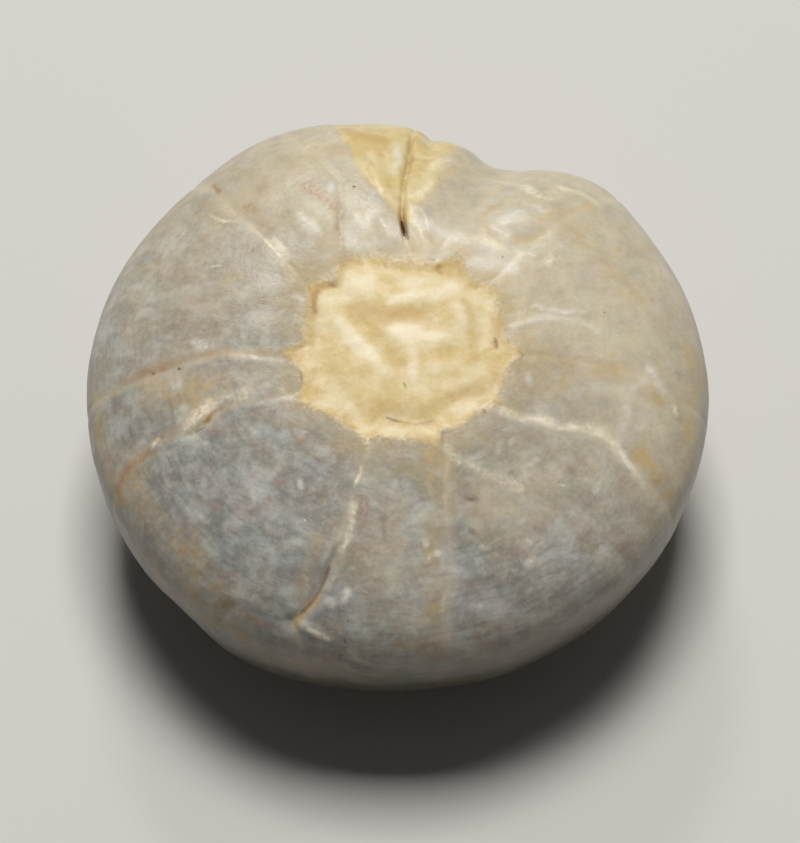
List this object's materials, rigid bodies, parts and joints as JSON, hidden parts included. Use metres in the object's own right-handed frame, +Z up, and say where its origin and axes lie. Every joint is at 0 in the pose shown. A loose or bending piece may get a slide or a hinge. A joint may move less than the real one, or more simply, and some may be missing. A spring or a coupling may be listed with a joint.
{
  "type": "fossil sea urchin",
  "caption": "Flattened round fossil urchin test lying dome down, its filled mouth on top with ray-shaped plate rows running out to the rim; a collector's specimen.",
  "frame": {"origin": "middle of the object's lowest level, on the small worn flat of the dome that it rests on", "axes": "+Z up through the mouth side; +Y towards the slit and lobe behind the mouth; +X to the right seen from the front"},
  "size_m": [0.026, 0.0266, 0.012],
  "materials": {
    "fossil_stone": "waxy translucent calcite, grey-beige to blue-grey, with a yellow chalky filling in the mouth"
  },
  "bodies": {
    "root": {"fossil_urchin": "fossil_stone"}
  },
  "joints": []
}
